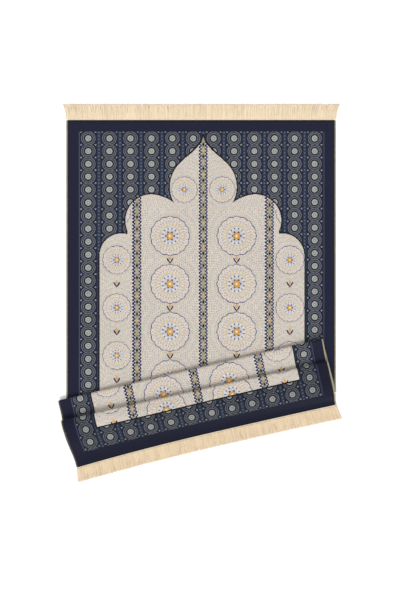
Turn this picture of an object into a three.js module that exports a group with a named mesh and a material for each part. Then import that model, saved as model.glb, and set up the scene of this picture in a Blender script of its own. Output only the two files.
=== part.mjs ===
import * as THREE from 'three';
import { mergeVertices } from 'three/addons/utils/BufferGeometryUtils.js';

// A woven prayer rug lying face up on the floor. Its lower end is folded back and forth twice,
// so two narrow strips of its face lie over each other, turned a little to the left.
// Millimetres, +Z up, +Y towards the top of the niche, origin under the middle of the whole rug.
// The flat cloth is measured by u, across from its centre line, and v, down from its top hem.

const rugWidth = 700;
const clothLength = 1116;
const clothThickness = 3;
const bindingWidth = 4;
const pieceGap = 0.3;
const foldRadius = 5;
const layerLift = 4.2;
const settleLength = 40;
const hemRest = 9;
const fringeLength = 42;
const lowerFringeLength = 37;
const fringeThickness = 2.4;
const backingWidth = 2.6;
const strandsPerEnd = 128;
const strandShare = 0.64;

// Where each fold line crosses the left and the right side of the flat cloth, from the top hem.
const folds = [
  { left: 795, right: 705 },
  { left: 868.7, right: 851.1 },
  { left: 955.7, right: 955.7 },
  { left: 992.7, right: 1001 },
];

// How far the lower hem's corners hang down and draw in, from the line where this begins.
const hemCorners = {
  begins: 1000,
  leftDip: 9,
  rightDip: 3,
  leftDraw: 8,
  rightDraw: 4,
};

// The fringes fan out towards their ends, by this angle in degrees.
const upperFan = { left: 12, right: 16 };
const lowerFan = { left: 8, right: 9 };

const halfWidth = rugWidth / 2;
const clothEdge = halfWidth - bindingWidth - pieceGap;
const halfThickness = clothThickness / 2;
const halfTurn = Math.PI * foldRadius / 2;

const colours = {
  cloth: 0x34364a,
  binding: 0x9a9478,
  fringe: 0xe9d2b2,
};

// Plane geometry of the layers

function dot(a, b) {
  return a.x * b.x + a.y * b.y;
}

// A layer's place on the floor plan: the flat cloth's origin and its two directions.
function onPlan(layer, u, v) {
  return {
    x: layer.origin.x + layer.across.x * u + layer.down.x * v,
    y: layer.origin.y + layer.across.y * u + layer.down.y * v,
  };
}

function foldLine(layer, fold) {
  const start = onPlan(layer, -halfWidth, fold.left);
  const end = onPlan(layer, halfWidth, fold.right);
  const length = Math.hypot(end.x - start.x, end.y - start.y);
  const along = { x: (end.x - start.x) / length, y: (end.y - start.y) / length };
  const normal = { x: along.y, y: -along.x };
  if (dot(normal, layer.down) < 0) {
    normal.x = -normal.x;
    normal.y = -normal.y;
  }
  return { along, normal, offset: dot(normal, start), steepness: dot(normal, layer.down) };
}

function mirrored(vector, line, offset) {
  const step = 2 * (dot(vector, line.normal) - offset);
  return { x: vector.x - step * line.normal.x, y: vector.y - step * line.normal.y };
}

function layersAndLines() {
  const layers = [{ origin: { x: 0, y: 0 }, across: { x: 1, y: 0 }, down: { x: 0, y: -1 } }];
  const lines = [];
  for (const fold of folds) {
    const layer = layers[layers.length - 1];
    const line = foldLine(layer, fold);
    lines.push(line);
    layers.push({
      origin: mirrored(layer.origin, line, line.offset),
      across: mirrored(layer.across, line, 0),
      down: mirrored(layer.down, line, 0),
    });
  }
  return { layers, lines };
}

const { layers, lines } = layersAndLines();
const lastLayer = layers.length - 1;

function smooth(t) {
  const c = Math.min(Math.max(t, 0), 1);
  return c * c * (3 - 2 * c);
}

// The length down the flat cloth at which a fold line crosses column u.
function foldAt(index, u) {
  const fold = folds[index];
  return fold.left + (fold.right - fold.left) * (u + halfWidth) / rugWidth;
}

// How much a fold raises the cloth above it: a full turn at its edge, settling further in.
function raisedBy(index, plan) {
  const line = lines[index];
  const inside = line.offset - halfTurn - dot(line.normal, plan);
  return layerLift + (2 * foldRadius - layerLift) * (1 - smooth(inside / settleLength));
}

// The top strip runs past the lower folds and comes down to the floor at its hem.
function fallFrom(index, u) {
  const layer = layers[lastLayer];
  const line = lines[index];
  const reach = line.offset + 2 - dot(line.normal, onPlan(layer, u, 0));
  return reach / dot(line.normal, layer.down);
}

function stillRaised(u, v, start) {
  const end = clothLength - hemRest;
  return 1 - smooth((v - start) / (end - start));
}

function layerHeight(index, plan, u, v) {
  if (index < lastLayer) {
    let height = halfThickness;
    for (let i = 0; i < index; i += 1) {
      height += raisedBy(i, plan);
    }
    return height;
  }
  const pastSecond = fallFrom(2, u);
  const pastFirst = Math.max(fallFrom(0, u), pastSecond);
  const lower = raisedBy(0, plan) + raisedBy(3, plan);
  const upper = raisedBy(1, plan) + raisedBy(2, plan);
  return halfThickness + lower * stillRaised(u, v, pastFirst) + upper * stillRaised(u, v, pastSecond);
}

// A point of the cloth's middle surface, folded.
function foldedPoint(u, v) {
  for (let i = 0; i < lines.length; i += 1) {
    const line = lines[i];
    const past = (v - foldAt(i, u)) * line.steepness;
    if (Math.abs(past) < halfTurn) {
      const flat = onPlan(layers[i], u, v);
      const place = dot(line.along, flat);
      const inward = line.offset - halfTurn;
      const edge = {
        x: line.along.x * place + line.normal.x * inward,
        y: line.along.y * place + line.normal.y * inward,
      };
      const angle = past / foldRadius;
      const out = foldRadius * Math.cos(angle);
      const base = layerHeight(i, edge, u, v);
      return new THREE.Vector3(
        edge.x + line.normal.x * out,
        edge.y + line.normal.y * out,
        base + foldRadius * (1 + Math.sin(angle)),
      );
    }
    if (past < 0) {
      const plan = onPlan(layers[i], u, v);
      return new THREE.Vector3(plan.x, plan.y, layerHeight(i, plan, u, v));
    }
  }
  const easing = smooth((v - hemCorners.begins) / (clothLength - hemCorners.begins));
  const left = Math.max(-u / halfWidth, 0);
  const right = Math.max(u / halfWidth, 0);
  const dip = hemCorners.leftDip * left ** 2 + hemCorners.rightDip * right ** 2;
  const draw = hemCorners.leftDraw * left ** 3 - hemCorners.rightDraw * right ** 3;
  const plan = onPlan(layers[lastLayer], u + draw * easing, v + dip * easing);
  return new THREE.Vector3(plan.x, plan.y, layerHeight(lastLayer, plan, u, v));
}

// The same point moved off the middle surface, towards the face for a positive height.
function clothPoint(u, v, height) {
  const step = 0.05;
  const centre = foldedPoint(u, v);
  const across = foldedPoint(u + step, v).sub(foldedPoint(u - step, v));
  const down = foldedPoint(u, v + step).sub(foldedPoint(u, v - step));
  const normal = new THREE.Vector3().crossVectors(down, across).normalize();
  return centre.addScaledVector(normal, height);
}

// Rows down the cloth, each a function of u, with close steps round every fold.
function clothRows() {
  const rows = [];
  const flatSteps = [7, 7, 8, 6, 14];
  const turnSteps = 8;
  const tangent = (index, side) => (u) => foldAt(index, u) + side * halfTurn / lines[index].steepness;
  for (let i = 0; i <= lines.length; i += 1) {
    const start = i === 0 ? () => 0 : tangent(i - 1, 1);
    const end = i === lines.length ? () => clothLength : tangent(i, -1);
    const steps = flatSteps[i];
    for (let j = 0; j <= steps; j += 1) {
      rows.push((u) => start(u) + (end(u) - start(u)) * j / steps);
    }
    for (let j = 1; j < turnSteps && i < lines.length; j += 1) {
      rows.push((u) => foldAt(i, u) + (2 * j / turnSteps - 1) * halfTurn / lines[i].steepness);
    }
  }
  return rows;
}

// A closed solid from a section of the cloth, swept down all rows. The section's points run
// over its top from left to right and back under it, so point j faces point count - 1 - j.
function sweptDownRows(section) {
  const rows = clothRows();
  const count = section.length;
  const positions = [];
  for (const row of rows) {
    for (const { u, height } of section) {
      positions.push(...clothPoint(u, row(u), height).toArray());
    }
  }
  const indices = [];
  for (let r = 0; r + 1 < rows.length; r += 1) {
    for (let j = 0; j < count; j += 1) {
      const next = (j + 1) % count;
      const a = r * count + j;
      const b = r * count + next;
      const c = a + count;
      const d = b + count;
      indices.push(a, c, b, b, c, d);
    }
  }
  const last = (rows.length - 1) * count;
  for (let j = 0; j + 1 < count / 2; j += 1) {
    const facing = count - 1 - j;
    indices.push(j, j + 1, facing, j + 1, facing - 1, facing);
    indices.push(last + j, last + facing, last + j + 1, last + j + 1, last + facing, last + facing - 1);
  }
  return closedGeometry(positions, indices);
}

function closedGeometry(positions, indices) {
  const geometry = new THREE.BufferGeometry();
  geometry.setAttribute('position', new THREE.Float32BufferAttribute(positions, 3));
  geometry.setIndex(indices);
  const merged = mergeVertices(geometry, 0.0001);
  merged.computeVertexNormals();
  return merged;
}

// Pieces

function clothGeometry() {
  const columns = 18;
  const top = [];
  for (let j = 0; j <= columns; j += 1) {
    top.push({ u: clothEdge * (2 * j / columns - 1), height: halfThickness });
  }
  const under = top.map(({ u }) => ({ u, height: -halfThickness })).reverse();
  return sweptDownRows([...top, ...under]);
}

// The overcast edge is a flattened bead as thick as the cloth.
function bindingGeometry(side) {
  const middle = side * (halfWidth - bindingWidth / 2);
  const outer = bindingWidth / 2;
  const inner = outer * 0.6;
  const shoulder = halfThickness * 0.5;
  const top = [
    { u: middle - outer, height: shoulder },
    { u: middle - inner, height: halfThickness },
    { u: middle + inner, height: halfThickness },
    { u: middle + outer, height: shoulder },
  ];
  const under = top.map(({ u, height }) => ({ u, height: -height })).reverse();
  return sweptDownRows([...top, ...under]);
}

// A small even spread of values between -1 and 1, so that no two strands lie alike.
function scatter(index) {
  const value = Math.sin(index * 12.9898) * 43758.5453;
  return 2 * (value - Math.floor(value)) - 1;
}

// A row of knotted yarns lying on the floor: a narrow woven backing beside the hem, and
// strands that fan out from it. Seen from above it is one comb.
function fringeGeometry(hemPoint, outward, length, fan) {
  const pitch = 2 * clothEdge / strandsPerEnd;
  const half = pitch * strandShare / 2;
  const inner = [];
  const outer = [];
  const hemSteps = 12;
  for (let j = 0; j <= hemSteps; j += 1) {
    inner.push(hemPoint(clothEdge * (2 * j / hemSteps - 1), pieceGap));
  }
  for (let j = 0; j < strandsPerEnd; j += 1) {
    const u = (j + 0.5) * pitch - clothEdge;
    const share = u / clothEdge;
    const reach = length * (1 + 0.03 * scatter(j));
    const spread = share < 0 ? -fan.left * Math.abs(share) ** 3 : fan.right * share ** 3;
    const angle = THREE.MathUtils.degToRad(spread + 1.2 * scatter(j + 0.5));
    const direction = outward(angle);
    const rootLeft = hemPoint(u - half, pieceGap + backingWidth);
    const rootRight = hemPoint(u + half, pieceGap + backingWidth);
    const tip = hemPoint(u, pieceGap + backingWidth).addScaledVector(direction, reach);
    const along = rootRight.clone().sub(rootLeft).multiplyScalar(0.36);
    outer.push(rootLeft, tip.clone().sub(along), tip.clone().add(along), rootRight);
  }
  const shape = new THREE.Shape([...inner, ...outer.reverse()]);
  return new THREE.ExtrudeGeometry(shape, { depth: fringeThickness, bevelEnabled: false });
}

function upperFringeGeometry() {
  const hemPoint = (u, past) => new THREE.Vector2(u, past);
  const outward = (angle) => new THREE.Vector2(Math.sin(angle), Math.cos(angle));
  return fringeGeometry(hemPoint, outward, fringeLength, upperFan);
}

function lowerFringeGeometry() {
  const { across, down } = layers[lastLayer];
  const hemPoint = (u, past) => {
    const hem = foldedPoint(u, clothLength);
    return new THREE.Vector2(hem.x + down.x * past, hem.y + down.y * past);
  };
  const outward = (angle) => new THREE.Vector2(
    down.x * Math.cos(angle) + across.x * Math.sin(angle),
    down.y * Math.cos(angle) + across.y * Math.sin(angle),
  );
  return fringeGeometry(hemPoint, outward, lowerFringeLength, lowerFan);
}

// Assembly

function yarn(name, colour) {
  return new THREE.MeshStandardMaterial({ name, color: colour, roughness: 0.9, metalness: 0 });
}

function piece(name, geometry, material) {
  const mesh = new THREE.Mesh(geometry, material);
  mesh.name = name;
  return mesh;
}

function prayerRug() {
  const cloth = yarn('woven_cotton_and_chenille', colours.cloth);
  const binding = yarn('overcast_yarn', colours.binding);
  const fringe = yarn('cotton_fringe', colours.fringe);
  const rug = new THREE.Group();
  rug.add(piece('rug_cloth', clothGeometry(), cloth));
  rug.add(piece('binding_left', bindingGeometry(-1), binding));
  rug.add(piece('binding_right', bindingGeometry(1), binding));
  rug.add(piece('fringe_upper', upperFringeGeometry(), fringe));
  rug.add(piece('fringe_lower', lowerFringeGeometry(), fringe));
  return rug;
}

// The origin moves to the middle of the rug's outline on the floor.
const rug = prayerRug();
const box = new THREE.Box3().setFromObject(rug);
const middle = box.getCenter(new THREE.Vector3());
rug.position.set(-middle.x, -middle.y, 0);
rug.updateMatrixWorld(true);

export default rug;
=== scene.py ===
import math
import bmesh
import bpy
import numpy as np
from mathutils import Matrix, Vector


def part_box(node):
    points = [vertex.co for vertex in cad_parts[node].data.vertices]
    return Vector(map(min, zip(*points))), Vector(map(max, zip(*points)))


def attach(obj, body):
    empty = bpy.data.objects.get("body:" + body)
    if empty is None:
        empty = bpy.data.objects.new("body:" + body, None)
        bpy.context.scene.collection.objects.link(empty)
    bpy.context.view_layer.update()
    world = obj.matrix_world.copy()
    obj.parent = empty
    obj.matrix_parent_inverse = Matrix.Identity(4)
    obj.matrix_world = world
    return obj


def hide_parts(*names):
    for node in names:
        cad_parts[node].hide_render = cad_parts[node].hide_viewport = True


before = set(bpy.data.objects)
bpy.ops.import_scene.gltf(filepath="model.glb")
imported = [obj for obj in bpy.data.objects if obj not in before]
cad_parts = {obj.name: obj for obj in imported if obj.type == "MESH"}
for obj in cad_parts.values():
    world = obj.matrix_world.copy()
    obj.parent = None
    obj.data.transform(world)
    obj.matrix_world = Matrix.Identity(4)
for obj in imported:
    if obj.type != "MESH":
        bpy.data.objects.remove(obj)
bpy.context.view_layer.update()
print("frame loaded:", ", ".join(sorted(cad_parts)))

# A woven prayer rug, face up, with its lower end folded back and forth twice. Everything is
# in metres. The flat cloth is measured by u, across from its middle, and v, down from the
# top hem; each fold line is given by the v at which it crosses the left and the right side.
rug = {
    "width": 0.700,
    "length": 1.116,
    "thickness": 0.003,
    "bindingWidth": 0.004,
    "gap": 0.0003,
    "folds": [(0.795, 0.705), (0.8687, 0.8511), (0.9557, 0.9557), (0.9927, 1.001)],
    "foldRadius": 0.005,
    "layerLift": 0.0042,
    "settleLength": 0.040,
    "fallMargin": 0.002,
    "hemRest": 0.009,
    "cornersBegin": 1.000,
    "cornerDip": (0.009, 0.003),
    "cornerDraw": (0.0055, 0.0005),
    "columns": 116,
    "flatRows": [72, 10, 10, 10, 36],
    "turnRows": 16,
}
halfWidth = rug["width"] / 2
clothEdge = halfWidth - rug["bindingWidth"] - rug["gap"]
halfThickness = rug["thickness"] / 2
halfTurn = math.pi * rug["foldRadius"] / 2

# The flat cloth's origin lies where the frame's top fringe and right binding put it.
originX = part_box("binding_right")[1].x - halfWidth
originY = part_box("fringe_upper")[0].y - rug["gap"]


def smooth(share):
    held = np.clip(share, 0, 1)
    return held * held * (3 - 2 * held)


def onPlan(layer, u, v):  # where a flat layer puts a point of the cloth, seen from above
    return layer["origin"] + np.multiply.outer(u, layer["across"]) + np.multiply.outer(v, layer["down"])


def layersAndLines():
    layer = {"origin": np.zeros(2), "across": np.array([1.0, 0.0]), "down": np.array([0.0, -1.0])}
    layers = [layer]
    lines = []
    for left, right in rug["folds"]:
        start = onPlan(layer, -halfWidth, left)
        end = onPlan(layer, halfWidth, right)
        along = (end - start) / np.linalg.norm(end - start)
        normal = np.array([along[1], -along[0]])
        if normal @ layer["down"] < 0:
            normal = -normal
        offset = normal @ start
        steep = normal @ layer["down"]
        lines.append({"along": along, "normal": normal, "offset": offset, "steep": steep})
        mirror = np.eye(2) - 2 * np.outer(normal, normal)
        layer = {
            "origin": mirror @ layer["origin"] + 2 * offset * normal,
            "across": mirror @ layer["across"],
            "down": mirror @ layer["down"],
        }
        layers.append(layer)
    return layers, lines


layers, foldLines = layersAndLines()
lastLayer = len(layers) - 1


def foldAt(index, u):
    left, right = rug["folds"][index]
    return left + (right - left) * (u + halfWidth) / rug["width"]


def raisedBy(index, plan):  # a fold lifts what lies above it, most at its own edge
    line = foldLines[index]
    inside = line["offset"] - halfTurn - plan @ line["normal"]
    full = 2 * rug["foldRadius"] - rug["layerLift"]
    return rug["layerLift"] + full * (1 - smooth(inside / rug["settleLength"]))


def fallFrom(index, u):  # where the top strip leaves the fold under it
    line = foldLines[index]
    layer = layers[lastLayer]
    reach = line["offset"] + rug["fallMargin"] - onPlan(layer, u, 0 * u) @ line["normal"]
    return reach / (line["normal"] @ layer["down"])


def layerHeight(index, plan, u, v):
    if index < lastLayer:
        return halfThickness + sum((raisedBy(i, plan) for i in range(index)), 0 * u)
    end = rug["length"] - rug["hemRest"]
    pastSecond = fallFrom(2, u)
    pastFirst = np.maximum(fallFrom(0, u), pastSecond)
    lower = (raisedBy(0, plan) + raisedBy(3, plan)) * (1 - smooth((v - pastFirst) / (end - pastFirst)))
    upper = (raisedBy(1, plan) + raisedBy(2, plan)) * (1 - smooth((v - pastSecond) / (end - pastSecond)))
    return halfThickness + lower + upper


def lastStripPlan(u, v):  # its corners hang a little lower and draw in at the hem
    easing = smooth((v - rug["cornersBegin"]) / (rug["length"] - rug["cornersBegin"]))
    left = np.maximum(-u / halfWidth, 0)
    right = np.maximum(u / halfWidth, 0)
    dip = rug["cornerDip"][0] * left ** 2 + rug["cornerDip"][1] * right ** 2
    draw = rug["cornerDraw"][0] * left ** 3 - rug["cornerDraw"][1] * right ** 3
    return onPlan(layers[lastLayer], u + draw * easing, v + dip * easing)


# Soft ridges left in the folded end, listed one by one: middle on the floor, turn in degrees,
# half length, half width and height. What lies higher up rises more, so no layer meets another.
ridges = [
    {"x": -0.215, "y": -0.263, "turn": 13, "long": 0.070, "wide": 0.020, "high": 0.0030},
    {"x": 0.030, "y": -0.199, "turn": 14, "long": 0.055, "wide": 0.018, "high": 0.0030},
    {"x": 0.240, "y": -0.155, "turn": 13, "long": 0.050, "wide": 0.016, "high": 0.0018},
    {"x": -0.235, "y": -0.300, "turn": 16, "long": 0.110, "wide": 0.016, "high": 0.0012},
    {"x": -0.040, "y": -0.236, "turn": 17, "long": 0.140, "wide": 0.020, "high": 0.0012},
    {"x": 0.190, "y": -0.180, "turn": 14, "long": 0.100, "wide": 0.018, "high": 0.0016},
    {"x": -0.120, "y": -0.330, "turn": 12, "long": 0.120, "wide": 0.022, "high": 0.0014},
    {"x": 0.110, "y": -0.262, "turn": 15, "long": 0.120, "wide": 0.022, "high": 0.0014},
    {"x": -0.300, "y": -0.380, "turn": 62, "long": 0.050, "wide": 0.016, "high": 0.0022},
    {"x": 0.320, "y": -0.215, "turn": -68, "long": 0.050, "wide": 0.014, "high": 0.0018},
]
fullRise = 0.022  # a ridge has its whole height on cloth that lies this high


def foldedPoints(u, v):  # the middle surface of the cloth, folded, before it is moved into the frame
    points = np.zeros(np.shape(u) + (3,))
    placed = np.zeros(np.shape(u), bool)
    for index, line in enumerate(foldLines):
        past = (v - foldAt(index, u)) * line["steep"]
        plan = onPlan(layers[index], u, v)
        inTurn = (np.abs(past) < halfTurn) & ~placed
        edge = np.multiply.outer(plan @ line["along"], line["along"])
        edge = edge + line["normal"] * (line["offset"] - halfTurn)
        angle = past / rug["foldRadius"]
        out = np.multiply.outer(rug["foldRadius"] * np.cos(angle), line["normal"])
        height = layerHeight(index, edge, u, v) + rug["foldRadius"] * (1 + np.sin(angle))
        turned = np.concatenate([edge + out, height[..., None]], axis=-1)
        points[inTurn] = turned[inTurn]
        placed |= inTurn
        isFlat = (past < 0) & ~placed
        flat = np.concatenate([plan, layerHeight(index, plan, u, v)[..., None]], axis=-1)
        points[isFlat] = flat[isFlat]
        placed |= isFlat
    plan = lastStripPlan(u, v)
    last = np.concatenate([plan, layerHeight(lastLayer, plan, u, v)[..., None]], axis=-1)
    points[~placed] = last[~placed]
    return points


def settled(points):  # into the frame, with the ridges raised
    moved = points + np.array([originX, originY, 0.0])
    rise = 0
    for ridge in ridges:
        turn = math.radians(ridge["turn"])
        dx = moved[..., 0] - ridge["x"]
        dy = moved[..., 1] - ridge["y"]
        along = (dx * math.cos(turn) + dy * math.sin(turn)) / ridge["long"]
        across = (dy * math.cos(turn) - dx * math.sin(turn)) / ridge["wide"]
        rise = rise + ridge["high"] * np.exp(-along ** 2 - across ** 2)
    share = np.clip((moved[..., 2] - halfThickness) / fullRise, 0, 1)
    moved[..., 2] += rise * share
    return moved


def clothFrame(u, v):  # points of the middle surface, with the directions across and out of the face
    step = 0.00005
    across = foldedPoints(u + step, v) - foldedPoints(u - step, v)
    down = foldedPoints(u, v + step) - foldedPoints(u, v - step)
    normal = np.cross(down, across)
    across = across / np.linalg.norm(across, axis=-1, keepdims=True)
    normal = normal / np.linalg.norm(normal, axis=-1, keepdims=True)
    return foldedPoints(u, v), across, normal


def clothRows(u):  # the v of every row of the sheet at these u, close together round the folds
    rows = []
    start = 0 * u
    for index, flatRows in enumerate(rug["flatRows"]):
        isLast = index == lastLayer
        turn = 0 if isLast else 2 * halfTurn / foldLines[index]["steep"]
        end = rug["length"] + 0 * u if isLast else foldAt(index, u) - turn / 2
        rows += [start + (end - start) * step / flatRows for step in range(flatRows + 1)]
        if not isLast:
            rows += [end + turn * step / rug["turnRows"] for step in range(1, rug["turnRows"])]
            start = end + turn
    return np.array(rows)


def gridMesh(name, across, down, count=1):
    bm = bmesh.new()
    for _ in range(count):
        bmesh.ops.create_grid(bm, x_segments=across, y_segments=down, size=1.0)
    mesh = bpy.data.meshes.new(name)
    bm.to_mesh(mesh)
    bm.free()
    places = np.zeros(len(mesh.vertices) * 3)
    mesh.vertices.foreach_get("co", places)
    places = places.reshape(-1, 3)
    column = np.rint((places[:, 0] + 1) / 2 * across).astype(int)
    row = np.rint((1 - places[:, 1]) / 2 * down).astype(int)
    return mesh, column, row


def setPlaces(mesh, places):
    mesh.vertices.foreach_set("co", np.ascontiguousarray(places, dtype=np.float32).ravel())
    mesh.update()


def setUv(mesh, name, x, y):  # the flat cloth's own metres, or a yarn's turn and length
    corners = np.zeros(len(mesh.loops), int)
    mesh.loops.foreach_get("vertex_index", corners)
    layer = mesh.uv_layers.new(name=name)
    pairs = np.stack([x[corners], y[corners]], axis=1).astype(np.float32)
    layer.data.foreach_set("uv", pairs.ravel())


def shadeSmooth(mesh):
    mesh.polygons.foreach_set("use_smooth", np.ones(len(mesh.polygons), bool))
    mesh.update()


def pieceFrom(mesh, *materials):
    for material in materials:
        mesh.materials.append(material)
    piece = bpy.data.objects.new(mesh.name, mesh)
    bpy.context.scene.collection.objects.link(piece)
    return piece


def rugSheet(upperSide, underSide):
    columns = rug["columns"]
    rowCount = sum(rug["flatRows"]) + len(rug["flatRows"]) + (rug["turnRows"] - 1) * len(foldLines)
    mesh, column, row = gridMesh("rugCloth", columns, rowCount - 1)
    lineU = clothEdge * (2 * np.arange(columns + 1) / columns - 1)
    allRows = clothRows(lineU)
    u = lineU[column]
    v = allRows[row, column]
    middle, _, normal = clothFrame(u, v)
    setPlaces(mesh, settled(middle) + normal * halfThickness)
    setUv(mesh, "clothUv", u, v)
    shadeSmooth(mesh)
    sheet = pieceFrom(mesh, upperSide, underSide)
    shell = sheet.modifiers.new("clothThickness", "SOLIDIFY")
    shell.thickness = rug["thickness"]
    shell.offset = -1
    shell.material_offset = 1
    shell.material_offset_rim = 1
    return sheet


# Yarns: tubes given by their rings, from one grid each, closed along the seam and at both ends.
def yarnPiece(name, rings, lengths, finish, tones=None):
    count, rows, around, _ = rings.shape
    mesh, column, row = gridMesh(name, around, rows - 1, count)
    which = np.arange(len(mesh.vertices)) // ((around + 1) * rows)
    places = rings[which, row, column % around]
    setPlaces(mesh, places)
    setUv(mesh, "yarnUv", column / around, lengths[which, row])
    if tones is not None:
        tone = mesh.attributes.new("yarnTone", "FLOAT", "POINT")
        tone.data.foreach_set("value", tones[which].astype(np.float32))
    bm = bmesh.new()
    bm.from_mesh(mesh)
    bmesh.ops.remove_doubles(bm, verts=bm.verts, dist=0.0000005)
    bmesh.ops.recalc_face_normals(bm, faces=bm.faces)
    bm.to_mesh(mesh)
    bm.free()
    shadeSmooth(mesh)
    return pieceFrom(mesh, finish)


def tubeRings(centre, side, up, wide, high, swell):  # swell: rows × around, about 1
    around = swell.shape[-1]
    angle = 2 * np.pi * np.arange(around) / around
    outSide = np.cos(angle) * swell * np.asarray(wide)[..., None] / 2
    outUp = np.sin(angle) * swell * np.asarray(high)[..., None] / 2
    rings = centre[..., None, :] + side[..., None, :] * outSide[..., None]
    rings = rings + up[..., None, :] * outUp[..., None]
    rings[..., 0, :, :] = centre[..., 0, None, :]
    rings[..., -1, :, :] = centre[..., -1, None, :]
    return rings


# The side binding: a bead of yarn overcast round the edge of the cloth.
binding = {
    "wide": 0.0040,
    "high": 0.0028,
    "stitch": 0.0032,
    "stepsPerStitch": 4,
    "ridge": 0.09,
    "slant": 1.0,
    "around": 10,
    "pale": (176, 168, 140),
    "deep": (152, 143, 116),
    "ply": 3.2,
    # painted shade: past this length the left binding's yarn is darkened, along the folded strips
    "paintedShade": (72, 60, 50),
    "paintedShadeFrom": 0.83,
    "paintedShadeOver": 0.02,
    "paintedShadeMost": 0.85,
}


def overcastSwell(along, around):
    turn = np.arange(around) / around
    phase = along[:, None] / binding["stitch"] + binding["slant"] * turn
    return 1 - binding["ridge"] + binding["ridge"] * np.cos(2 * np.pi * phase)


def sideBinding(name, side, finish):
    rows = int(rug["length"] / binding["stitch"] * binding["stepsPerStitch"])
    v = np.linspace(0, rug["length"], rows)
    u = np.full(rows, side * (halfWidth - rug["bindingWidth"] / 2))
    middle, across, normal = clothFrame(u, v)
    swell = overcastSwell(v, binding["around"])
    wide = np.full(rows, binding["wide"])
    high = np.full(rows, binding["high"])
    rings = tubeRings(settled(middle), across, normal, wide, high, swell)
    return yarnPiece(name, rings[None], v[None], finish)


# The fringes: plied yarns lying on the floor, and a stitched heading along their roots. Each end
# has its own length, its own fan in degrees at the left and right corner, and its own colours;
# the lower end's colours are the same yarn darkened by painted shade.
fringe = {
    "strands": 500,
    "yarn": 0.0021,
    "twist": 0.0062,
    "lobe": 0.16,
    "around": 8,
    "rows": 23,
    "upper": {
        "length": 0.0410,
        "fan": (11, 14),
        "pale": (250, 234, 206),
        "deep": (240, 217, 182),
        "seed": 4,
    },
    "lower": {
        "length": 0.0375,
        "fan": (9, 9),
        # painted shade: the lower end's colours are darker than the upper end's
        "pale": (245, 226, 196),
        "deep": (234, 208, 172),
        "seed": 9,
    },
    "fanPower": 3,
    "lengthSpread": 0.006,
    "rootSpread": 0.2,
    "lean": 0.009,
    "curl": 1.7,
    "wander": 0.0008,
    "waves": 4.4,
    "pile": 0.0011,
    "hump": 0.25,
    "tipTaper": 9,
    "tipWidth": 0.55,
    "ply": 1.6,
    "tone": (0.14, 0.90),
}
heading = {
    "wide": 0.0026,
    "high": 0.0022,
    "stitch": 0.0030,
    "overRoots": 0.6,
    "pale": (250, 240, 214),
    "deep": (240, 226, 192),
    "ply": 3.0,
}


def upperHem(u, past):
    return np.stack([u + originX, past + originY], axis=-1)


def lowerHem(u, past):
    hem = lastStripPlan(u, np.full(np.shape(u), rug["length"])) + np.array([originX, originY])
    return hem + layers[lastLayer]["down"] * np.asarray(past)[..., None]


def strandCentres(hem, away, beside, end, rng):
    count = fringe["strands"]
    pitch = rug["width"] / count
    rootSpread = fringe["rootSpread"]
    u = (np.arange(count) + 0.5) * pitch - halfWidth + rng.uniform(-rootSpread, rootSpread, count) * pitch
    share = u / halfWidth
    spread = np.where(share < 0, -end["fan"][0], end["fan"][1]) * np.abs(share) ** fringe["fanPower"]
    lean = np.tan(np.radians(spread)) + rng.normal(0, fringe["lean"], count)
    reach = end["length"] * (1 + rng.normal(0, fringe["lengthSpread"], count))
    phase = rng.uniform(0, 2 * np.pi, count)
    step = np.linspace(0, 1, fringe["rows"])
    forward = reach[:, None] * step
    sideways = lean[:, None] * end["length"] * step ** fringe["curl"]
    sideways += fringe["wander"] * step * np.sin(phase[:, None] + fringe["waves"] * step)
    root = hem(u, np.full(count, rug["gap"] + heading["overRoots"] * heading["wide"]))
    plan = root[:, None, :] + away * forward[..., None] + beside * sideways[..., None]
    lift = fringe["yarn"] / 2 * (1 + fringe["lobe"]) + fringe["pile"] * rng.uniform(0, 1, count)[:, None]
    lift = lift * (1 + fringe["hump"] * np.sin(np.pi * step) * rng.uniform(-1, 1, count)[:, None] ** 2)
    return np.concatenate([plan, lift[..., None]], axis=-1), forward


def fringePiece(name, hem, away, end, finish):
    rng = np.random.default_rng(end["seed"])
    beside = np.array([-away[1], away[0]])
    beside = beside if beside[0] > 0 else -beside
    centres, along = strandCentres(hem, away, beside, end, rng)
    direction = np.gradient(centres, axis=1)
    direction[..., 2] = 0
    direction /= np.linalg.norm(direction, axis=-1, keepdims=True)
    side = np.stack([direction[..., 1], -direction[..., 0], 0 * direction[..., 0]], axis=-1)
    up = np.broadcast_to([0.0, 0.0, 1.0], side.shape)
    angle = 2 * np.pi * np.arange(fringe["around"]) / fringe["around"]
    turn = 2 * np.pi * along / fringe["twist"] + rng.uniform(0, 6, len(centres))[:, None]
    swell = 1 + fringe["lobe"] * np.cos(2 * (angle - turn[..., None]))
    taper = np.linspace(1, 0, fringe["rows"]) * fringe["tipTaper"] + fringe["tipWidth"]
    wide = np.broadcast_to(fringe["yarn"] * np.clip(taper, 0, 1), along.shape)
    rings = tubeRings(centres, side, up, wide, wide, swell)
    return yarnPiece(name, rings, along, finish, rng.uniform(0, 1, len(centres)))


def headingPiece(name, hem, away, finish):
    stitches = 2 * clothEdge / heading["stitch"]
    u = np.linspace(-clothEdge, clothEdge, int(stitches * binding["stepsPerStitch"]))
    plan = hem(u, np.full(len(u), rug["gap"] + heading["wide"] / 2))
    lift = np.full((len(u), 1), heading["high"] / 2)
    centre = np.concatenate([plan, lift], axis=1)
    side = np.broadcast_to([away[0], away[1], 0.0], centre.shape)
    up = np.broadcast_to([0.0, 0.0, 1.0], centre.shape)
    swell = overcastSwell(u, binding["around"])
    wide = np.full(len(u), heading["wide"])
    high = np.full(len(u), heading["high"])
    rings = tubeRings(centre, side, up, wide, high, swell)
    return yarnPiece(name, rings[None], (u + clothEdge)[None], finish)


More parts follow.
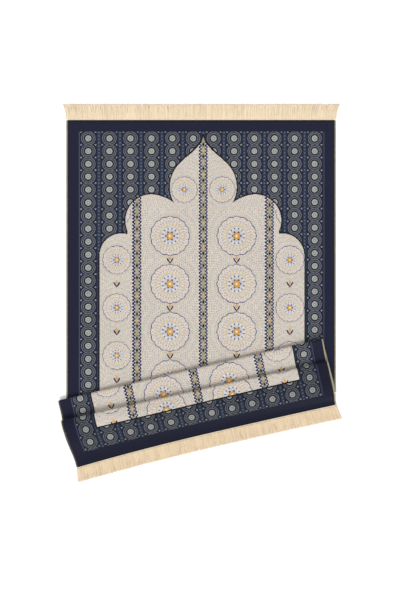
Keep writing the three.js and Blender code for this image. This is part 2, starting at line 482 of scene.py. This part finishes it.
# Finishes. A Value is a number in a material that can be added, multiplied and compared,
# so that a pattern is written the way it is drawn.
class Value:
    def __init__(self, tree, socket):
        self.tree = tree
        self.socket = socket

    def maths(self, operation, *others):
        node = self.tree.nodes.new("ShaderNodeMath")
        node.operation = operation
        for slot, given in zip(node.inputs, (self, *others)):
            if isinstance(given, Value):
                self.tree.links.new(given.socket, slot)
            else:
                slot.default_value = given
        return Value(self.tree, node.outputs[0])

    def __add__(self, other):
        return self.maths("ADD", other)

    def __sub__(self, other):
        return self.maths("SUBTRACT", other)

    def __mul__(self, other):
        return self.maths("MULTIPLY", other)

    def __truediv__(self, other):
        return self.maths("DIVIDE", other)

    def __pow__(self, other):
        return self.maths("POWER", other)

    def __lt__(self, other):
        return self.maths("LESS_THAN", other)

    def __gt__(self, other):
        return self.maths("GREATER_THAN", other)

    def __abs__(self):
        return self.maths("ABSOLUTE")

    def flipped(self):  # 1 - value
        return (self * -1) + 1

    def least(self, other):
        return self.maths("MINIMUM", other)

    def most(self, other):
        return self.maths("MAXIMUM", other)

    def near(self, other, reach):
        return self.maths("COMPARE", other, reach)

    def repeated(self, pitch):  # distance from the nearest of a row of places
        return self.maths("WRAP", pitch / 2, -pitch / 2)

    def floored(self):
        return self.maths("FLOOR")

    def isOdd(self):
        return self.maths("FLOORED_MODULO", 2) > 0.5

    def cosine(self):
        return self.maths("COSINE")

    def chosen(self, ifSet, otherwise):  # one number where the mask is set, another elsewhere
        return self * (ifSet - otherwise) + otherwise


def distance(x, y):
    return (x * x + y * y).maths("SQRT")


def colourOf(red, green, blue):  # screen colours of 0 to 255, as the linear colour Blender wants
    def linear(channel):
        share = channel / 255
        return share / 12.92 if share <= 0.04045 else ((share + 0.055) / 1.055) ** 2.4
    return (linear(red), linear(green), linear(blue), 1.0)


allFinishes = {"gloss": 0.12, "sheenRoughness": 0.5}


def newFinish(name, roughness, sheen):
    material = bpy.data.materials.new(name)
    material.use_nodes = True
    tree = material.node_tree
    shader = tree.nodes["Principled BSDF"]
    shader.inputs["Roughness"].default_value = roughness
    shader.inputs["Specular IOR Level"].default_value = allFinishes["gloss"]
    shader.inputs["Sheen Weight"].default_value = sheen
    shader.inputs["Sheen Roughness"].default_value = allFinishes["sheenRoughness"]
    return material, tree, shader


def uvValues(tree, name):
    uv = tree.nodes.new("ShaderNodeUVMap")
    uv.uv_map = name
    parts = tree.nodes.new("ShaderNodeSeparateXYZ")
    tree.links.new(uv.outputs["UV"], parts.inputs[0])
    return Value(tree, parts.outputs[0]), Value(tree, parts.outputs[1])


def noiseOf(tree, scale, detail):
    place = tree.nodes.new("ShaderNodeTexCoord")
    noise = tree.nodes.new("ShaderNodeTexNoise")
    noise.inputs["Scale"].default_value = scale
    noise.inputs["Detail"].default_value = detail
    tree.links.new(place.outputs["Object"], noise.inputs["Vector"])
    return Value(tree, noise.outputs["Fac"])


def uneven(tree, scale, detail, change, darkest):  # a shade that wanders, for shadeBy
    return noiseOf(tree, scale, detail) * change + darkest


class Dyeing:  # colours laid over each other, each through its own mask
    def __init__(self, tree, ground):
        self.tree = tree
        self.colour = tree.nodes.new("ShaderNodeRGB").outputs[0]
        self.colour.default_value = colourOf(*ground)

    def lay(self, mask, colour):
        node = self.tree.nodes.new("ShaderNodeMix")
        node.data_type = "RGBA"
        self.tree.links.new(mask.socket, node.inputs["Factor"])
        self.tree.links.new(self.colour, node.inputs[6])
        if isinstance(colour, Dyeing):
            self.tree.links.new(colour.colour, node.inputs[7])
        else:
            node.inputs[7].default_value = colourOf(*colour)
        self.colour = node.outputs[2]

    def shadeBy(self, amount):
        node = self.tree.nodes.new("ShaderNodeVectorMath")
        node.operation = "SCALE"
        self.tree.links.new(self.colour, node.inputs[0])
        self.tree.links.new(amount.socket, node.inputs["Scale"])
        self.colour = node.outputs[0]


def bumpFrom(tree, shader, height, depth):
    bump = tree.nodes.new("ShaderNodeBump")
    bump.inputs["Strength"].default_value = 1.0
    bump.inputs["Distance"].default_value = depth
    tree.links.new(height.socket, bump.inputs["Height"])
    tree.links.new(bump.outputs["Normal"], shader.inputs["Normal"])


# The face's pattern, in millimetres of cloth: x across from the middle, y down from the top hem.
# Below squeezeFrom the rows lie a little closer together. The lower end's ground is darker.
pattern = {
    "pick": 1.2,
    "rib": 0.75,
    "warp": 0.35,
    "squeezeFrom": 714.1,
    "squeeze": 1.0455,
    "end": 1134.3,
    "hem": 2.6,
    "guardLeft": -316.3,
    "guardRight": 319.7,
    "guardTop": 30.0,
    "guardBottom": 1099.5,
    "guardLine": 2.0,
    "lowerShade": 0.24,
    "lowerShadeFrom": 975.0,
    "lowerShadeOver": 20.0,
}

# The many-lobed arch. What is on both sides is measured out from its middle line: circles by
# how far out and down their middle stands and their radius, straight sides by how far out they
# stand and where they begin. The lowest lobes and sides have a middle line of their own.
niche = {
    "middle": 5.7,
    "lowMiddle": 2.1,
    "outline": 3.2,
    "tip": 41.0,
    "crownLength": 57.0,
    "crownPower": 1.63,
    "crownHalf": 46.6,
    "crownGrow": (0.7, 0.8),
    "crownFrom": 51.5,
    "crownLeast": 8.0,
    "crownEnd": 106.0,
    "dome": (0.0, 173.0, 86.3),
    "neck": (84.0, 226.0),
    "shoulder": (136.8, 292.1, 98.8),
    "lobe": (134.3, 259.8, 67.4),
    "side": (196.5, 285.0),
    "lowLobe": (208.0, 350.6, 57.0),
    "lowSide": (265.0, 350.6),
    "end": 1044.0,
}

# How far the roundels lie from an even grid, in millimetres. The rows drop at the top and slant
# further down, each folded strip has a level and a slant of its own, and the columns bow right.
drift = {
    "topDrop": 1.2,
    "topEnds": 150.0,
    "topFades": 90.0,
    "slantFrom": 146.0,
    "slant": -0.0097,
    "halfSpan": 293.0,
    "firstFrom": 805.0,
    "secondFrom": 975.0,
    "firstStrip": (5.4, 3.1),
    "secondStrip": (-3.6, 1.0),
    "bow": 5.0,
    "bowShift": 1.0,
    "bowLength": 587.0,
    "bowOnStrips": 0.55,
}

# The ground of roundels: column and row pitch, then the rings from outside in, then the wavy
# dotted stripe between the columns and the small dots between the rows.
roundel = {
    "columnPitch": 53.34,
    "firstColumn": -293.35,
    "rowPitch": 33.4,
    "firstRow": 46.1,
    "rim": 18.9,
    "ringAt": 12.6,
    "ringPitch": 4.5,
    "dark": 10.2,
    "disc": 7.7,
    "discRing": (3.4, 0.75),
    "stripeHalf": 4.6,
    "stripeWave": 0.8,
    "stripePitch": 8.85,
    "stripeDotAt": 4.4,
    "dot": 2.2,
    "dotAside": 18.2,
}

dyes = {
    "navy": (33, 34, 54),
    "black": (20, 20, 26),
    "guardLine": (74, 78, 104),
    "ground": (34, 37, 56),
    "ringLight": (104, 107, 115),
    "ringDark": (42, 45, 56),
    "disc": (166, 168, 164),
    "discRing": (116, 119, 120),
    "stripe": (48, 56, 75),
    "stripeDot": (90, 102, 114),
    "blueDot": (128, 138, 152),
    "goldDot": (142, 145, 122),
    "cream": (219, 211, 199),
    "gold": (212, 162, 88),
    "paleGold": (246, 214, 150),
    "deepGold": (196, 166, 112),
    "brown": (70, 44, 34),
    "ink": (44, 46, 76),
    "lavender": (196, 196, 206),
    "lilac": (184, 178, 186),
    "pink": (210, 188, 170),
    "sand": (208, 192, 160),
    "sage": (182, 184, 168),
    "ringBlue": (78, 86, 116),
    "bandGrey": (132, 134, 144),
    "bandWhite": (226, 222, 218),
    "bandSand": (154, 146, 130),
    "olive": (168, 160, 108),
    "bandPink": (184, 162, 148),
}


def inCircle(side, y, circle, grow):
    out, down, radius = circle
    return distance(side - out, y - down) < (radius + grow)


def inSides(side, y, sides, grow):
    out, down = sides
    return (side < (out + grow)) * (y > down)


def nicheMask(x, y, grow):  # inside the many-lobed arch, widened by grow
    side = abs(x - niche["middle"])
    lowSide = abs(x - niche["lowMiddle"])
    rise = (y - niche["tip"] + grow) / niche["crownLength"]
    growHalf, growAll = niche["crownGrow"]
    flank = (rise.most(0.0) ** niche["crownPower"]) * (niche["crownHalf"] + growHalf * grow)
    flank = (flank + growAll * grow).least((y - niche["crownFrom"]).most(niche["crownLeast"]) + grow)
    mask = (side < flank) * (y < niche["crownEnd"]) * (rise > 0.0)
    mask = mask.most(inCircle(side, y, niche["dome"], grow))
    mask = mask.most(inSides(side, y, niche["neck"], grow))
    mask = mask.most(inCircle(side, y, niche["shoulder"], grow) * (side < niche["shoulder"][0]))
    mask = mask.most(inCircle(side, y, niche["lobe"], grow))
    mask = mask.most(inSides(side, y, niche["side"], grow))
    mask = mask.most(inCircle(lowSide, y, niche["lowLobe"], grow))
    mask = mask.most(inSides(lowSide, y, niche["lowSide"], grow))
    return mask * (y < (niche["end"] + grow))


def driftedRows(x, y, v):
    share = x / drift["halfSpan"]
    drop = ((y * -1 + drift["topEnds"]) / drift["topFades"]).most(0.0).least(1.0) * drift["topDrop"]
    slant = (y - drift["slantFrom"]).most(0.0) * drift["slant"] * share
    onFirst = (v > drift["firstFrom"]) * (v < drift["secondFrom"])
    onSecond = v > drift["secondFrom"]
    moved = y - (drop + slant) * (v < drift["firstFrom"])
    for onStrip, strip in ((onFirst, drift["firstStrip"]), (onSecond, drift["secondStrip"])):
        level, stripSlant = strip
        moved = moved - (share * stripSlant + level) * onStrip
    return moved


def bowedColumns(x, v):
    bow = (x * (math.pi / drift["bowLength"])).cosine() * drift["bow"] + drift["bowShift"]
    return x - bow * (v > drift["firstFrom"]).chosen(drift["bowOnStrips"], 1.0)


def roundelGround(tree, x, y):
    dyeing = Dyeing(tree, dyes["ground"])
    across = (x - roundel["firstColumn"]).repeated(roundel["columnPitch"])
    down = (y - roundel["firstRow"]).repeated(roundel["rowPitch"])
    reach = distance(across, down)
    betweenColumns = (abs(across) * -1) + roundel["columnPitch"] / 2
    betweenRows = (abs(down) * -1) + roundel["rowPitch"] / 2

    waves = (y * (2 * math.pi / roundel["stripePitch"])).cosine()
    fromDot = (y - roundel["stripeDotAt"]).repeated(roundel["stripePitch"])
    dyeing.lay(betweenColumns < (waves * roundel["stripeWave"] + roundel["stripeHalf"]), dyes["stripe"])
    dyeing.lay(distance(betweenColumns, fromDot) < roundel["dot"], dyes["stripeDot"])

    isRing = ((reach - roundel["ringAt"]) * (2 * math.pi / roundel["ringPitch"])).cosine() > 0.0
    dyeing.lay(reach < roundel["rim"], dyes["ringDark"])
    dyeing.lay((reach < roundel["rim"]) * isRing, dyes["ringLight"])
    dyeing.lay(reach < roundel["dark"], dyes["black"])
    dyeing.lay(reach < roundel["disc"], dyes["disc"])
    dyeing.lay(reach.near(*roundel["discRing"]), dyes["discRing"])

    # one dot of each pair is gold, the left and the right one by turns
    row = ((y - roundel["firstRow"]) / roundel["rowPitch"]).floored().isOdd()
    isDot = distance(abs(across) - roundel["dotAside"], betweenRows) < roundel["dot"]
    dyeing.lay(isDot, dyes["blueDot"])
    dyeing.lay(isDot * row.near(across < 0.0, 0.1), dyes["goldDot"])
    return dyeing


# The field's ornament is a plain shamsa repeat of petals and stars, half dropped. Its measures
# run from the rim inwards; petals stand on rings, each with its count, ends, fill and turn.
medallion = {
    "innerColumn": 86.3,
    "outerColumn": 224.2,
    "outerFrom": 173.0,
    "outerScale": 0.72,
    "pitch": 124.0,
    "innerRow": 300.0,
    "outerRow": 362.0,
    "domeColumn": 49.0,
    "domeRow": 180.0,
    "domeEnds": 232.0,
    "domeScale": 0.66,
    "rim": 50.0,
    "rimHalf": 1.0,
    "lobes": 16,
    "lobeDepth": 1.1,
    "goldRing": (26.3, 0.7),
    "eye": 25.0,
    "starPoints": 6,
    "starRim": (10.4, 2.8),
    "star": (8.4, 1.7),
    "starMiddle": 3.4,
}
rimPetals = [
    {"dye": "pink", "count": 32, "inner": 41.0, "outer": 48.2, "fill": 0.62, "turn": 0.0},
    {"dye": "lilac", "count": 32, "inner": 34.5, "outer": 41.0, "fill": 0.66, "turn": 0.098},
    {"dye": "sand", "count": 24, "inner": 27.5, "outer": 35.0, "fill": 0.70, "turn": 0.0},
]
eyePetals = [
    {"dye": "cream", "count": 12, "inner": 15.5, "outer": 24.0, "fill": 0.50, "turn": 0.0},
    {"dye": "ink", "count": 12, "inner": 17.0, "outer": 21.5, "fill": 0.26, "turn": math.pi / 12},
]
scales = {"pitch": 5.0, "count": 64, "fill": 0.72}
sprig = {
    "above": 40.0,
    "leafAside": 5.4,
    "leafLean": 0.5,
    "leafDown": 1.0,
    "leafHalf": (2.3, 6.2),
    "budUp": 4.0,
    "budHalf": (3.4, 5.4),
    "seedDown": 7.0,
    "seed": 2.1,
}


def layScales(dyeing, reach, turn):  # small scales in rings of three tints over the open ground
    ring = (reach / scales["pitch"]).floored()
    along = (reach / scales["pitch"] - ring) * 2 - 1
    beside = abs((turn * scales["count"] + ring * math.pi).repeated(2 * math.pi) / math.pi)
    scale = beside < (along * along).flipped().maths("SQRT") * scales["fill"]
    tint = ring.maths("FLOORED_MODULO", 3)
    dyeing.lay(scale, dyes["pink"])
    dyeing.lay(scale * (tint > 0.5), dyes["lilac"])
    dyeing.lay(scale * (tint > 1.5), dyes["sage"])


def layPetals(dyeing, reach, turn, rings):  # rounded petals standing on rings
    for ring in rings:
        middle = (ring["inner"] + ring["outer"]) / 2
        half = (ring["outer"] - ring["inner"]) / 2
        along = (reach - middle) / half
        width = (along * along).flipped().most(0.0).maths("SQRT") * ring["fill"]
        beside = abs(((turn + ring["turn"]) * ring["count"]).repeated(2 * math.pi) / math.pi)
        dyeing.lay(beside < width, dyes[ring["dye"]])


def layMedallion(dyeing, reach, turn):  # from its lobed rim inwards
    rim = (turn * medallion["lobes"]).cosine() * medallion["lobeDepth"] + medallion["rim"]
    dyeing.lay(reach < rim, dyes["cream"])
    dyeing.lay(abs(reach - rim) < medallion["rimHalf"], dyes["ringBlue"])
    layPetals(dyeing, reach, turn, rimPetals)
    dyeing.lay(reach.near(*medallion["goldRing"]), dyes["deepGold"])
    dyeing.lay(reach < medallion["eye"], dyes["lavender"])
    layPetals(dyeing, reach, turn, eyePetals)
    for star, dye in (("starRim", "brown"), ("star", "gold")):
        size, depth = medallion[star]
        dyeing.lay(reach < ((turn * medallion["starPoints"]).cosine() * depth + size), dyes[dye])
    dyeing.lay(reach < medallion["starMiddle"], dyes["paleGold"])


def laySprigs(dyeing, side, y, isOuter, firstRow):  # upright, between one medallion and the next
    between = (y - firstRow + medallion["pitch"] / 2).repeated(medallion["pitch"])
    aside = side - isOuter.chosen(medallion["outerColumn"], medallion["innerColumn"])
    isBody = y > (firstRow - sprig["above"])
    leafWide, leafHigh = sprig["leafHalf"]
    budWide, budHigh = sprig["budHalf"]
    leafOut = abs(aside) - sprig["leafAside"] + between * sprig["leafLean"]
    leaf = distance(leafOut / leafWide, (between - sprig["leafDown"]) / leafHigh) < 1.0
    bud = distance(aside / budWide, (between + sprig["budUp"]) / budHigh) < 1.0
    seed = distance(aside, between - sprig["seedDown"]) < sprig["seed"]
    dyeing.lay(leaf * isBody, dyes["ink"])
    dyeing.lay(bud * isBody, dyes["gold"])
    dyeing.lay(seed * isBody, dyes["brown"])


def medallionField(tree, x, y):
    dyeing = Dyeing(tree, dyes["cream"])
    side = abs(x - niche["middle"])
    isOuter = side > medallion["outerFrom"]
    isDome = y < medallion["domeEnds"]
    bodyColumn = isOuter.chosen(medallion["outerColumn"], medallion["innerColumn"])
    column = isDome.chosen(medallion["domeColumn"], 0.0) + isDome.flipped() * bodyColumn
    firstRow = isOuter.chosen(medallion["outerRow"], medallion["innerRow"])
    bodyDown = (y - firstRow).repeated(medallion["pitch"])
    down = isDome * (y - medallion["domeRow"]) + isDome.flipped() * bodyDown
    bodySize = isOuter.chosen(medallion["outerScale"], 1.0)
    size = isDome * medallion["domeScale"] + isDome.flipped() * bodySize
    across = (side - column) / size
    down = down / size
    reach = distance(across, down)
    turn = down.maths("ARCTAN2", across)
    layScales(dyeing, reach, turn)
    layMedallion(dyeing, reach, turn)
    laySprigs(dyeing, side, y, isOuter, firstRow)
    return dyeing


# The three upright bands of linked dots and lozenges. A dot has its place out from the middle
# and its radius; lozenges have the first one and how often they come, counted in their pitch.
band = {
    "left": -167.0,
    "right": 176.6,
    "apart": 171.8,
    "half": 11.65,
    "edge": 7.0,
    "dotPitch": 8.8,
    "innerDot": (6.4, 2.3),
    "outerDot": (9.7, 3.3),
    "paleDot": (5.8, 1.4),
    "core": 3.8,
    "lozengePitch": 31.4,
    "lozengeHalf": 4.4,
    "lozengeSlope": 0.6,
    "lozenges": [("olive", 0.5, 1), ("deepGold", 0.5, 2), ("bandPink", 3.5, 3)],
    "darkHalf": 2.9,
}


def bandMask(x):
    left = x.near(band["left"], band["half"])
    middle = x.near(niche["middle"], band["half"])
    right = x.near(band["right"], band["half"])
    return left.most(middle).most(right)


def checkerBand(tree, x, y):
    dyeing = Dyeing(tree, dyes["bandGrey"])
    across = abs((x - niche["middle"]).repeated(band["apart"]))
    atDot = y.repeated(band["dotPitch"])
    betweenDots = (y - band["dotPitch"] / 2).repeated(band["dotPitch"])
    dyeing.lay(across > band["edge"], dyes["bandWhite"])
    dots = (("innerDot", betweenDots, "ink"), ("outerDot", atDot, "ink"), ("paleDot", atDot, "bandWhite"))
    for dot, down, dye in dots:
        out, radius = band[dot]
        dyeing.lay(distance(across - out, down) < radius, dyes[dye])
    dyeing.lay(across < band["core"], dyes["bandSand"])
    pitch = band["lozengePitch"]
    for dye, first, every in band["lozenges"]:
        down = abs((y - first * pitch).repeated(every * pitch))
        dyeing.lay((across + down * band["lozengeSlope"]) < band["lozengeHalf"], dyes[dye])
    dyeing.lay((across * 2.0 + abs(y.repeated(pitch))) < 2 * band["darkHalf"], dyes["black"])
    return dyeing


def weaveHeight(x, y):  # ribs of weft with the warp showing between them
    rib = abs((y * (math.pi / pattern["pick"])).cosine())
    shift = (y / pattern["pick"]).floored().isOdd() * 0.5
    warp = abs(((x / pattern["pick"] + shift) * math.pi).cosine())
    return rib * pattern["rib"] + warp * pattern["warp"]


# The wool of the face and the underside. A noise has its scale and detail, how much it changes
# the shade and what it leaves at the darkest; the weave has the last two, as painted shade in its
# hollows.
wool = {
    "roughness": 0.9,
    "sheen": 0.04,
    "worn": (11, 3, 0.16, 0.90),
    "mottled": (260, 2, 0.50, 0.75),
    "fleck": (900, 1, 0.30, 0.85),
    "weave": (0.13, 0.84),
    "fluff": (1400, 2, 0.40, 0.0),
    "bump": 0.0004,
}
underside = {
    "roughness": 0.92,
    "sheen": 0.1,
    "pale": (126, 126, 134),
    "deep": (104, 106, 118),
    "rows": 2.4,
    "worn": (18, 3, 0.30, 0.85),
    "weave": (0.20, 0.85),
    "bump": 0.0005,
}


def faceFinish():
    material, tree, shader = newFinish("rugFace", wool["roughness"], wool["sheen"])
    u, v = uvValues(tree, "clothUv")
    x = u * 1000
    flatY = v * 1000
    y = flatY + ((flatY - pattern["squeezeFrom"]).most(0.0)) * (pattern["squeeze"] - 1)
    pick = pattern["pick"]
    wovenX = ((x / pick).floored() + 0.5) * pick
    wovenY = ((y / pick).floored() + 0.5) * pick

    dyeing = Dyeing(tree, dyes["navy"])
    left, right, line = pattern["guardLeft"], pattern["guardRight"], pattern["guardLine"]
    inGuard = (wovenX > left) * (wovenX < right)
    inGuard = inGuard * (wovenY > pattern["guardTop"]) * (wovenY < pattern["guardBottom"])
    dyeing.lay(inGuard, dyes["guardLine"])
    inner = (wovenX > left + line) * (wovenX < right - line)
    roundels = roundelGround(tree, bowedColumns(wovenX, flatY), driftedRows(wovenX, wovenY, flatY))
    dyeing.lay(inGuard * inner, roundels)
    lowerEnd = ((flatY - pattern["lowerShadeFrom"]) / pattern["lowerShadeOver"]).most(0.0).least(1.0)
    dyeing.shadeBy(lowerEnd * -pattern["lowerShade"] + 1)
    dyeing.lay(nicheMask(wovenX, wovenY, niche["outline"]), dyes["black"])
    field = medallionField(tree, wovenX, wovenY)
    field.lay(bandMask(wovenX), checkerBand(tree, wovenX, wovenY))
    dyeing.lay(nicheMask(wovenX, wovenY, 0.0), field)
    dyeing.lay((y < pattern["hem"]).most(y > pattern["end"] - pattern["hem"]), dyes["black"])

    weave = weaveHeight(x, y)
    weaveShadeChange, weaveShadeDarkest = wool["weave"]
    worn = uneven(tree, *wool["worn"])
    mottled = uneven(tree, *wool["mottled"])
    fleck = uneven(tree, *wool["fleck"])
    # painted shade: the colour is darker in the hollows between the weave's ribs
    dyeing.shadeBy(worn * mottled * fleck * (weave * weaveShadeChange + weaveShadeDarkest))
    tree.links.new(dyeing.colour, shader.inputs["Base Color"])
    bumpFrom(tree, shader, weave + uneven(tree, *wool["fluff"]), wool["bump"])
    return material


def undersideFinish():
    material, tree, shader = newFinish("rugBack", underside["roughness"], underside["sheen"])
    u, v = uvValues(tree, "clothUv")
    x = u * 1000
    y = v * 1000
    dyeing = Dyeing(tree, underside["deep"])
    dyeing.lay((y / underside["rows"]).floored().isOdd(), underside["pale"])
    weave = weaveHeight(x, y)
    weaveShadeChange, weaveShadeDarkest = underside["weave"]
    # painted shade: the colour is darker in the hollows between the weave's ribs
    dyeing.shadeBy((weave * weaveShadeChange + weaveShadeDarkest) * uneven(tree, *underside["worn"]))
    tree.links.new(dyeing.colour, shader.inputs["Base Color"])
    bumpFrom(tree, shader, weave, underside["bump"])
    return material


# All yarns: how the two colours of one are mixed, how its plies shade it, and its fluff.
yarn = {
    "roughness": 0.88,
    "sheen": 0.1,
    "patches": (60, 2),
    "plyShade": (0.07, 0.88),
    "plyBump": 0.4,
    "fluff": (1600, 2),
    "bump": 0.0003,
}


def yarnFinish(name, piece):  # piece: the values of what the yarn is for
    material, tree, shader = newFinish(name, yarn["roughness"], yarn["sheen"])
    turn, along = uvValues(tree, "yarnUv")
    dyeing = Dyeing(tree, piece["pale"])
    plies = ((along * (1000 / piece["ply"]) + turn) * (2 * math.pi)).cosine()
    plyChange, plyDarkest = yarn["plyShade"]
    dyeing.lay(noiseOf(tree, *yarn["patches"]), piece["deep"])
    dyeing.shadeBy(plies * plyChange + plyDarkest)
    tree.links.new(dyeing.colour, shader.inputs["Base Color"])
    bumpFrom(tree, shader, plies * yarn["plyBump"] + noiseOf(tree, *yarn["fluff"]), yarn["bump"])
    return material, tree, dyeing, shader


def paintedShadeBindingFinish(name):  # the binding's yarn, darkened past a length by painted shade where the left binding runs along the folded strips
    material, tree, dyeing, shader = yarnFinish(name, binding)
    _, along = uvValues(tree, "yarnUv")
    share = (along - binding["paintedShadeFrom"]) / binding["paintedShadeOver"]
    dyeing.lay(share.most(0.0).least(binding["paintedShadeMost"]), binding["paintedShade"])
    tree.links.new(dyeing.colour, shader.inputs["Base Color"])
    return material


def fringeFinish(name, end):  # every strand has a tone of its own
    material, tree, dyeing, shader = yarnFinish(name, {**end, "ply": fringe["ply"]})
    tone = tree.nodes.new("ShaderNodeAttribute")
    tone.attribute_name = "yarnTone"
    toneChange, toneDarkest = fringe["tone"]
    dyeing.shadeBy(Value(tree, tone.outputs["Fac"]) * toneChange + toneDarkest)
    tree.links.new(dyeing.colour, shader.inputs["Base Color"])
    return material


print("weaving the cloth")
cloth = rugSheet(faceFinish(), undersideFinish())

print("overcasting the sides")
bindingLeft = sideBinding("bindingLeft", -1, paintedShadeBindingFinish("bindingYarnLeft"))
bindingRight = sideBinding("bindingRight", 1, yarnFinish("bindingYarnRight", binding)[0])

print("knotting the fringes")
upward = np.array([0.0, 1.0])
downward = layers[lastLayer]["down"]
upperYarn = fringeFinish("fringeYarnUpper", fringe["upper"])
lowerYarn = fringeFinish("fringeYarnLower", fringe["lower"])
headingYarn = yarnFinish("headingYarn", heading)[0]
fringeUpper = fringePiece("fringeUpper", upperHem, upward, fringe["upper"], upperYarn)
fringeLower = fringePiece("fringeLower", lowerHem, downward, fringe["lower"], lowerYarn)
headingUpper = headingPiece("headingUpper", upperHem, upward, headingYarn)
headingLower = headingPiece("headingLower", lowerHem, downward, headingYarn)

pieces = {
    "rug_cloth": (cloth, "cloth"),
    "binding_left": (bindingLeft, "binding"),
    "binding_right": (bindingRight, "binding"),
    "fringe_upper": (fringeUpper, "fringe"),
    "fringe_lower": (fringeLower, "fringe"),
}
for node, (piece, slotName) in pieces.items():
    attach(piece, "root")
    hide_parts(node)
for piece in (headingUpper, headingLower):
    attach(piece, "root")


# The studio: a pale floor, an even white surround, a broad soft light from beyond the rug's
# folded end, and a camera straight above the middle of the picture.
studio = {
    "floorSize": 4.0,
    "floorColour": (250, 250, 250),
    "floorRoughness": 0.95,
    "floorShade": (3, 2, 0.01, 0.995),
    "surround": 0.80,
    "lightFrom": (-0.05, -0.72, 1.0),
    "lightSpread": 28,
    "lightStrength": 1.88,
    "cameraHeight": 1.9,
    "cameraX": -0.00156,
    "cameraDown": 0.4673,
    "pictureHeight": 1.5595,
    "sensor": 36,
}


def makeFloor():
    mesh, _, _ = gridMesh("floor", 1, 1)
    places = np.array([vertex.co for vertex in mesh.vertices])
    setPlaces(mesh, places * studio["floorSize"])
    material, tree, shader = newFinish("paperFloor", studio["floorRoughness"], 0.0)
    dyeing = Dyeing(tree, studio["floorColour"])
    dyeing.shadeBy(uneven(tree, *studio["floorShade"]))
    tree.links.new(dyeing.colour, shader.inputs["Base Color"])
    pieceFrom(mesh, material)


def makeLight():
    world = bpy.data.worlds.new("studioWhite")
    world.use_nodes = True
    world.node_tree.nodes["Background"].inputs["Color"].default_value = (1, 1, 1, 1)
    world.node_tree.nodes["Background"].inputs["Strength"].default_value = studio["surround"]
    bpy.context.scene.world = world
    lamp = bpy.data.lights.new("softLight", "SUN")
    lamp.angle = math.radians(studio["lightSpread"])
    lamp.energy = studio["lightStrength"]
    light = bpy.data.objects.new("softLight", lamp)
    bpy.context.scene.collection.objects.link(light)
    light.location = studio["lightFrom"]
    light.rotation_euler = light.location.to_track_quat("Z", "Y").to_euler()


def makeCamera():
    lens = bpy.data.cameras.new("camera")
    lens.sensor_width = studio["sensor"]
    lens.lens = studio["sensor"] * studio["cameraHeight"] / studio["pictureHeight"]
    camera = bpy.data.objects.new("camera", lens)
    bpy.context.scene.collection.objects.link(camera)
    x = originX + studio["cameraX"]
    y = originY - studio["cameraDown"]
    camera.location = (x, y, studio["cameraHeight"])
    bpy.context.scene.camera = camera


print("setting up the studio")
makeFloor()
makeLight()
makeCamera()
bpy.context.scene.view_settings.view_transform = "Standard"
